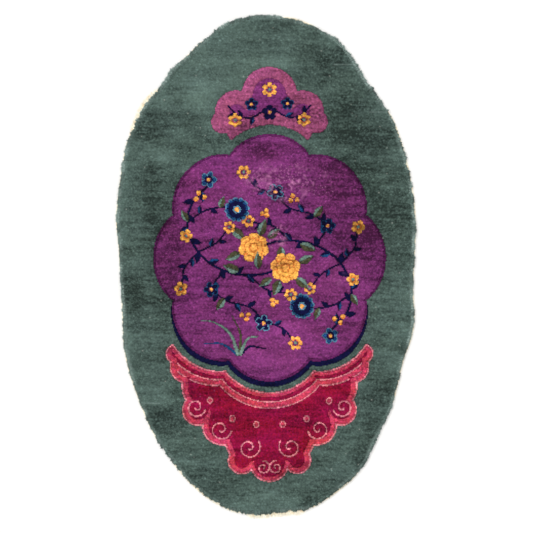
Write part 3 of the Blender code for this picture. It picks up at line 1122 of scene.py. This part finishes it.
COTTON_SPACING_MM = 1.05  # from one frayed end to the next
COTTON_WIDTHS_MM = (1.05, 0.9, 0.35)  # at an end's root, its middle and its tip
COTTON_THICKNESSES_MM = (0.9, 0.7, 0.3)
STRIP_STEP_MM = 2.4  # along the rim
STRIP_BACK_GAP_MM = 0.3
STRIP_HEIGHTS_MM = (2.1, 1.2)  # at its back and at its edge
STRIP_RAGGED_MM = (-0.8, 0.5)  # how far its edge strays in or out
THINNING_MM = 20.0  # how far from its ends a strip begins to thin out
THINNEST = 0.25  # share of its width that is left at its ends
FRAYED_SHARES = (0.45, 1.40)  # of the reach, from the shortest to the longest end where full
SHORTEST_END, LONGEST_END = 0.08, 1.3
ROOT_HEIGHT_MM, MIDDLE_HEIGHTS_MM, TIP_HEIGHTS_MM = 0.9, (0.6, 1.1), (0.35, 0.6)
WARP_PULL = 0.35  # how far the ends still lie the way of the warps, which run up the rug
END_SPLAY, END_CURL_MM = 0.3, 0.35
END_CLUMPS = (140.0, 61.0)  # waves round the rug; the ends clump where two of them meet
HIDDEN_MM = 0.8  # how much of each end lies under the pile
STRIP_TONE, END_TONE = 0.06, 0.11
FRAYING = {  # how full the longer ends are, where they aren't sparse
    "cotton_edge_foot_middle": 1.0,
    "cotton_edge_left_shoulder": 0.95,
    "cotton_edge_head_right": 0.80,
    "cotton_edge_right_shoulder": 0.80,
    "cotton_edge_foot_right": 0.55,
    "cotton_edge_right_side": 0.50,
    "cotton_edge_right_flank": 0.45,
    "cotton_edge_foot_left": 0.30,
    "cotton_edge_left_flank": 0.25,
}
SPARSE = 0.12

def strip_facts(node):
    """A strip's first and last bearing, how far its edge shows and how far its ends reach."""
    points = places_of(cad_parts[node].data)
    bearings = bearing_of(points[:, 0], points[:, 1])
    inset = inset_of(points[:, 0], points[:, 1])
    back = bearings[inset > 0.5 * OVERHANG]
    return back.min(), back.max(), -inset[points[:, 2] > MM].min(), -inset.min()

def eased(at, start, end):
    """1 along a strip, and less at its two ends, where it thins out."""
    run = np.minimum(at - start, end - at) * on_line(at, LINE.reach)
    return np.clip(run / (THINNING_MM * MM), THINNEST, 1.0)

def edge_band(bearings, shows, rng):
    """The strip of bare foundation, as points and faces; shows is its width at each bearing."""
    count = len(bearings)
    ragged = rng.uniform(*STRIP_RAGGED_MM, count) * MM
    high, low = STRIP_HEIGHTS_MM
    section = (
        # inset, height, share of the raggedness
        (OVERHANG - STRIP_BACK_GAP_MM * MM, 0.0, 0.0),
        (OVERHANG - STRIP_BACK_GAP_MM * MM, high, 0.0),
        (-0.3 * shows, low * 1.25, 0.4),
        (-shows, low * 0.7, 1.0),
        (-shows, 0.0, 1.0),
    )
    rings = []
    for inset, height, share in section:
        places, _ = rim_places(bearings, inset - ragged * share)
        bumpy = height * MM * (1 + 0.12 * rng.normal(size=count))
        rings.append(np.column_stack([places, bumpy]))
    sides = len(section)
    walls = [
        (i * sides + s, i * sides + (s + 1) % sides, (i + 1) * sides + (s + 1) % sides,
         (i + 1) * sides + s)
        for i in range(count - 1)
        for s in range(sides)
    ]
    ends = [tuple(range(sides)), tuple(range((count - 1) * sides, count * sides))]
    return np.stack(rings, axis=1).reshape(-1, 3), [*walls, *ends]

def frayed_ends(at, shows, reach, fullness, rng):
    """Warp and weft ends that taper out from the strip and droop to the floor."""
    count = len(at)
    root, away = rim_places(at, MM - 0.2 * shows)
    quick, slow = END_CLUMPS
    clumps = 0.5 + 0.5 * np.sin(at * quick + rng.uniform(0, 6.28)) * np.sin(at * slow)
    part = rng.beta(1.6, 1.6, count) * (0.45 + 0.75 * clumps)
    part = part + (rng.uniform(*FRAYED_SHARES, count) - part) * fullness
    length = shows + (reach - shows) * np.clip(part, SHORTEST_END, LONGEST_END)
    along = np.stack([away[:, 1], -away[:, 0]], axis=1)
    warps = np.stack([np.zeros(count), np.sign(away[:, 1])], axis=1)
    way = away + WARP_PULL * warps * np.abs(away[:, 1:])
    way += along * rng.normal(0, END_SPLAY, count)[:, None]
    way /= np.linalg.norm(way, axis=1)[:, None]
    tip = root + way * (length + HIDDEN_MM * MM)[:, None]
    root = np.column_stack([root, np.full(count, ROOT_HEIGHT_MM * MM)])
    tip = np.column_stack([tip, rng.uniform(*TIP_HEIGHTS_MM, count) * MM])
    middle = root * 0.45 + tip * 0.55
    middle[:, :2] += along * rng.normal(0, END_CURL_MM * MM, count)[:, None]
    middle[:, 2] = rng.uniform(*MIDDLE_HEIGHTS_MM, count) * MM
    sideways = np.column_stack([way[:, 1], -way[:, 0], np.zeros(count)])
    widths = [width * MM for width in COTTON_WIDTHS_MM]
    thicknesses = [thickness * MM for thickness in COTTON_THICKNESSES_MM]
    return strands(root, middle, tip, sideways, widths, thicknesses)

def cotton_edge(node, rng):
    """A strip of bare foundation with its frayed ends, in place of the plain solid one."""
    start, end, shows, reach = strip_facts(node)
    fullness = FRAYING.get(node, SPARSE)
    bearings = np.append(evenly_round(STRIP_STEP_MM * MM, start, end), end)
    band, band_faces = edge_band(bearings, shows * eased(bearings, start, end), rng)
    at = evenly_round(COTTON_SPACING_MM * MM / (0.3 + 0.8 * fullness), start, end)
    at = np.clip(at + rng.uniform(-0.5, 0.5, len(at)) * (at[1] - at[0]), start, end)
    ease = eased(at, start, end)
    ends, end_faces = frayed_ends(at, shows * ease, reach * ease, fullness, rng)
    points = np.concatenate([band, ends])
    faces = band_faces + (end_faces + len(band)).tolist()
    piece = piece_from(node.replace("cotton_edge", "frayed_edge"), points, faces)
    turn_outward(piece)
    mesh = piece.data
    sides = len(band) // len(bearings)
    bands, strands_out = len(bearings), len(at)
    along = np.concatenate([np.tile(np.linspace(0, 0.4, sides), bands),
                            np.tile(np.repeat([0.5, 0.75, 1.0], 4), strands_out)])
    tone = np.concatenate([np.repeat(rng.normal(0, STRIP_TONE, bands), sides),
                           np.repeat(rng.normal(0, END_TONE, strands_out), STRAND_POINTS)])
    way = np.concatenate([np.repeat(bearings, sides), np.repeat(at, STRAND_POINTS)])
    note(mesh, "along", "POINT", along)
    note(mesh, "tone", "POINT", tone)
    shares = np.stack([(way - way.min()) / np.ptp(way), along], axis=1)
    lay_map(mesh, shares[corner_points(mesh)])
    return piece

# ---------------------------------------------------------------- finishes

def new_material(name):
    """A material with only its shader and its output."""
    material = bpy.data.materials.new(name)
    material.use_nodes = True
    tree = material.node_tree
    tree.nodes.clear()
    shader = add(tree, "ShaderNodeBsdfPrincipled")
    add(tree, "ShaderNodeOutputMaterial", {"Surface": shader.outputs["BSDF"]})
    return material, tree, shader

def finish_shader(tree, shader, values):
    """Sets the shader's sockets to plain values, or feeds them from the sockets given."""
    for name, value in values.items():
        if isinstance(value, bpy.types.NodeSocket):
            tree.links.new(value, shader.inputs[name])
        else:
            shader.inputs[name].default_value = value

def finish_fibres(tree, shader, colour, height, rough, relief_mm, strength, shine):
    """Matt fibres of this colour, whose roughness and relief both follow one height."""
    levels = {"Value": height, "To Min": rough[0], "To Max": rough[1]}
    bump = {"Height": height, "Distance": relief_mm * MM, "Strength": strength}
    values = {
        "Base Color": colour,
        "Roughness": add(tree, "ShaderNodeMapRange", levels).outputs["Result"],
        "Normal": add(tree, "ShaderNodeBump", bump).outputs["Normal"],
        "Metallic": 0.0,
    }
    finish_shader(tree, shader, {**values, **shine})

WOOL_IOR, COTTON_IOR = 1.54, 1.53
PLY_MM = 0.9  # fibres are 0.03 mm thick, and show as the plies that they are spun to

# The patterns of each finish: size in millimetres, stretch, detail, strength
DYE_DRIFT = (  # of the hue, in shares of the colour circle
    (3.0, (1.0, 1.2, 1.0), 1.0, 0.08),
    (85.0, (0.6, 1.2, 1.0), 2.0, 0.04),
)
PILE_PATTERNS = (
    (1.1, (1.0, 1.0, 1.0), 2.0, 0.80),  # plies, cut across
    (3.2, (1.0, 1.2, 1.0), 2.0, 0.55),  # yarn ends that opened or closed when cut
    (8.0, (0.22, 1.3, 1.0), 2.0, 0.85),  # streaks along the rows
    (28.0, (0.5, 1.1, 1.0), 3.0, 0.80),  # pile pressed this way and that
    (60.0, (0.35, 1.2, 1.0), 3.0, 1.05),  # dye lots
)
LOCK_PATTERNS = (
    (5.0, (1.0, 1.0, 1.0), 2.0, 0.80),
    (26.0, (1.0, 1.0, 1.0), 2.0, 0.90),
    (60.0, (0.35, 1.2, 1.0), 3.0, 0.90),
)
BACK_PATTERNS = (
    (3.1, (1.0, 1.1, 1.0), 2.0, 0.50),
    (60.0, (0.35, 1.2, 1.0), 3.0, 0.70),
)
COTTON_PATTERNS = ((4.0, (1.0, 1.0, 1.0), 2.0, 0.35),)

def drifting(tree, place, value, patterns):
    """The value made higher and lower by patterns of real sizes."""
    for size_mm, stretch, detail, strength in patterns:
        spots = add(tree, "ShaderNodeMapping", {"Vector": place, "Scale": stretch})
        noise = add(
            tree,
            "ShaderNodeTexNoise",
            {"Vector": spots.outputs["Vector"], "Scale": 1 / (size_mm * MM), "Detail": detail},
        )
        centred = add(
            tree, "ShaderNodeMath", {0: noise.outputs["Fac"], 1: 0.5}, operation="SUBTRACT"
        )
        sockets = {0: centred.outputs["Value"], 1: strength, 2: value}
        value = add(tree, "ShaderNodeMath", sockets, operation="MULTIPLY_ADD").outputs["Value"]
    return value

def varied(tree, place, colour, patterns, saturation=1.0):
    """The colour made lighter and darker by the tone noted for each knot or strand and by the
    patterns, with its hue drifting as the dye took."""
    value = add(tree, "ShaderNodeAttribute", attribute_name="tone").outputs["Fac"]
    value = add(tree, "ShaderNodeMath", {0: value, 1: 1.0}).outputs["Value"]
    value = drifting(tree, place, value, patterns)
    value = add(tree, "ShaderNodeMath", {0: value, 1: 0.3}, operation="MAXIMUM").outputs["Value"]
    hue = drifting(tree, place, 0.5, DYE_DRIFT)
    sockets = {"Color": colour, "Hue": hue, "Value": value, "Saturation": saturation}
    return add(tree, "ShaderNodeHueSaturation", sockets).outputs["Color"]

def yarn_colours(tree):
    """The dyed colour of the yarn that each knot is tied in."""
    yarn = add(tree, "ShaderNodeAttribute", attribute_name="yarn")
    ramp = add(tree, "ShaderNodeValToRGB", {"Fac": yarn.outputs["Fac"]})
    ramp.color_ramp.interpolation = "CONSTANT"
    stops = ramp.color_ramp.elements
    while len(stops) < len(YARNS):
        stops.new(1.0)
    for number, (_, colour) in enumerate(YARNS):
        stops[number].position = number / len(YARNS)
        stops[number].color = linear(colour)
    return ramp.outputs["Color"]

def sheared_wool():
    """Hand-spun wool, dyed in small lots, knotted and sheared level: matt, with a little sheen
    at a slant. Each lot took the dye a little differently, which bands the rows (abrash)."""
    material, tree, shader = new_material("sheared wool pile")
    place = add(tree, "ShaderNodeTexCoord").outputs["Object"]
    colour = varied(tree, place, yarn_colours(tree), PILE_PATTERNS)
    # the leaning pile is painted paler as painted sheen; worn tips and stray lint are real
    for noted, paler in (("lean_sheen", PAINTED_SHEEN_GROUND), ("worn", FADED_WOOL), ("stray", PALE_LINT)):
        share = add(tree, "ShaderNodeAttribute", attribute_name=noted).outputs["Fac"]
        mixed = {0: share, 6: colour, 7: linear(paler)}
        colour = add(tree, "ShaderNodeMix", mixed, data_type="RGBA").outputs[2]
    plies = {"Vector": place, "Scale": 1 / (PLY_MM * MM), "Detail": 3.0}
    plies = add(tree, "ShaderNodeTexNoise", plies).outputs["Fac"]
    shine = {"IOR": WOOL_IOR, "Specular IOR Level": 0.05, "Sheen Weight": 0.03,
             "Sheen Roughness": 0.5}
    finish_fibres(tree, shader, colour, plies, (0.82, 0.98), 0.8, 0.9, shine)
    return material

def leaning_wool():
    """The same ground wool along the rim, where locks lean out and show the length of their
    fibres: painted lighter towards the tips as painted sheen, and softer."""
    material, tree, shader = new_material("leaning wool locks")
    place = add(tree, "ShaderNodeTexCoord").outputs["Object"]
    colour = varied(tree, place, linear(YARNS[YARN["ground"]][1]), LOCK_PATTERNS)
    along = add(tree, "ShaderNodeAttribute", attribute_name="along")
    patchy = add(tree, "ShaderNodeTexNoise", {"Vector": place, "Scale": 1 / (45 * MM), "Detail": 2.0})
    spread = {"Value": patchy.outputs["Fac"], "From Min": 0.42, "From Max": 0.60, "To Min": 0.2,
              "To Max": 1.3}
    spread = add(tree, "ShaderNodeMapRange", spread).outputs["Result"]
    share = {0: along.outputs["Fac"], 1: spread}
    share = add(tree, "ShaderNodeMath", share, operation="MULTIPLY").outputs["Value"]
    # painted sheen on the locks' tips, in patches
    mixed = {0: share, 6: colour, 7: linear(PAINTED_SHEEN_GROUND)}
    colour = add(tree, "ShaderNodeMix", mixed, data_type="RGBA").outputs[2]
    plies = {"Vector": place, "Scale": 1 / (PLY_MM * MM), "Detail": 3.0}
    plies = add(tree, "ShaderNodeTexNoise", plies).outputs["Fac"]
    shine = {"IOR": WOOL_IOR, "Specular IOR Level": 0.08, "Sheen Weight": 0.08,
             "Sheen Roughness": 0.45}
    finish_fibres(tree, shader, colour, plies, (0.80, 0.96), 0.5, 0.6, shine)
    return material

def knot_backs():
    """The back: rows of hard-packed knot loops in the design's yarns, with cotton wefts
    between them, flat and duller than the face."""
    material, tree, shader = new_material("knotted wool and cotton back")
    place = add(tree, "ShaderNodeTexCoord").outputs["Object"]
    colour = varied(tree, place, yarn_colours(tree), BACK_PATTERNS, 0.92)
    # a wave's bands are pi / 10 of a unit apart at scale 1, and here a row of knots apart
    apart = math.pi / 10 / (KNOT_UP_MM * MM)
    rows = {"Vector": place, "Scale": apart, "Distortion": 0.5, "Detail": 1.0}
    rows = add(tree, "ShaderNodeTexWave", rows, bands_direction="Y").outputs["Fac"]
    weft = {"Value": rows, "From Max": 0.3, "To Min": 0.5, "To Max": 0.0}
    weft = add(tree, "ShaderNodeMapRange", weft).outputs["Result"]
    mixed = {0: weft, 6: colour, 7: linear(COTTON_SHADE)}
    colour = add(tree, "ShaderNodeMix", mixed, data_type="RGBA").outputs[2]
    shine = {"IOR": WOOL_IOR, "Specular IOR Level": 0.12}
    finish_fibres(tree, shader, colour, rows, (0.96, 0.86), 0.5, 0.6, shine)
    return material

def bare_cotton():
    """Undyed machine-spun cotton warp, yellowed with age and frayed: a warm cream, matt."""
    material, tree, shader = new_material("frayed cotton warp")
    place = add(tree, "ShaderNodeTexCoord").outputs["Object"]
    soil = add(tree, "ShaderNodeTexNoise", {"Vector": place, "Scale": 1 / (14 * MM), "Detail": 3.0})
    soiled = {"Value": soil.outputs["Fac"], "From Min": 0.45, "From Max": 0.80, "To Max": 0.9}
    soiled = add(tree, "ShaderNodeMapRange", soiled).outputs["Result"]
    mixed = {0: soiled, 6: linear(BARE_COTTON), 7: linear(COTTON_SHADE)}
    colour = add(tree, "ShaderNodeMix", mixed, data_type="RGBA").outputs[2]
    colour = varied(tree, place, colour, COTTON_PATTERNS)
    twist = {"Vector": place, "Scale": 1 / (PLY_MM * MM), "Detail": 2.0}
    twist = add(tree, "ShaderNodeTexNoise", twist).outputs["Fac"]
    shine = {"IOR": COTTON_IOR, "Specular IOR Level": 0.2, "Sheen Weight": 0.1}
    finish_fibres(tree, shader, colour, twist, (0.80, 0.95), 0.3, 0.5, shine)
    return material

def studio_floor():
    """A matt white sweep."""
    material, tree, shader = new_material("studio floor paint")
    values = {"Base Color": linear(FLOOR_WHITE), "Roughness": 0.9, "Specular IOR Level": 0.1}
    finish_shader(tree, shader, values)
    return material

# ---------------------------------------------------------------- floor, lights and camera

PHOTO_PIXELS = 533
PHOTO_PIXEL_MM = 3.019  # a pixel's size on the pile's face
PHOTO_RUG_MIDDLE = (265.9, 267.0)
LENS_MM, SENSOR_MM = 85.0, 36.0
FLOOR_SIZE, FLOOR_GAP = 40.0, 0.2 * MM
SKY_STRENGTH = 0.75
WINDOW = SimpleNamespace(towards=(0.7, -0.8, -2.0), strength=1.6, spread=50.0)

def camera_above():
    """Straight above the rug, its head up in the picture."""
    pixel = PHOTO_PIXEL_MM * MM
    data = bpy.data.cameras.new("camera")
    data.lens, data.sensor_width = LENS_MM, SENSOR_MM
    data.clip_end = 50.0
    camera = bpy.data.objects.new("camera", data)
    across = (PHOTO_PIXELS / 2 - PHOTO_RUG_MIDDLE[0]) * pixel
    up = (PHOTO_RUG_MIDDLE[1] - PHOTO_PIXELS / 2) * pixel
    camera.location = (across, up, THICKNESS + PHOTO_PIXELS * pixel * LENS_MM / SENSOR_MM)
    bpy.context.collection.objects.link(camera)
    bpy.context.scene.camera = camera

def window_light():
    """Even light from a large window far off, soft by its spread in degrees."""
    data = bpy.data.lights.new("window side", "SUN")
    data.energy, data.angle = WINDOW.strength, math.radians(WINDOW.spread)
    light = bpy.data.objects.new("window side", data)
    light.location = -Vector(WINDOW.towards)
    light.rotation_euler = Vector(WINDOW.towards).to_track_quat("-Z", "Y").to_euler()
    bpy.context.collection.objects.link(light)

def studio():
    deselect_all()
    bpy.ops.mesh.primitive_plane_add(size=FLOOR_SIZE, location=(0.0, 0.0, -FLOOR_GAP))
    floor = bpy.context.active_object
    floor.name = "studio_floor"
    floor.data.materials.append(studio_floor())
    world = bpy.data.worlds.new("pale studio")
    world.use_nodes = True
    world.node_tree.nodes["Background"].inputs["Color"].default_value = linear("#FFFFFF")
    world.node_tree.nodes["Background"].inputs["Strength"].default_value = SKY_STRENGTH
    bpy.context.scene.world = world
    window_light()
    bpy.context.scene.view_settings.view_transform = "Standard"

# ---------------------------------------------------------------- the rug

def rug():
    rng = np.random.default_rng(SEED)
    chart = drawn_chart()
    notes = knot_notes(chart, rng)
    face = pile_face(chart, notes, rng)
    roll, locks = rim_roll(), rim_locks(rng)
    back = knotted_back(chart, notes)
    names = sorted(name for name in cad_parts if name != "rug_cloth")
    strips = {name: cotton_edge(name, rng) for name in names}
    for pieces, material, slot in (
        (face, sheared_wool(), "wool_pile"),
        ((roll, locks), leaning_wool(), "wool_pile"),
        ((back,), knot_backs(), "wool_pile"),
        (strips.values(), bare_cotton(), "cotton_foundation"),
    ):
        for piece in pieces:
            piece.data.materials.append(material)
            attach(piece, "root")
    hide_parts("rug_cloth")
    for name, strip in strips.items():
        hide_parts(name)

camera_above()
studio()
rug()
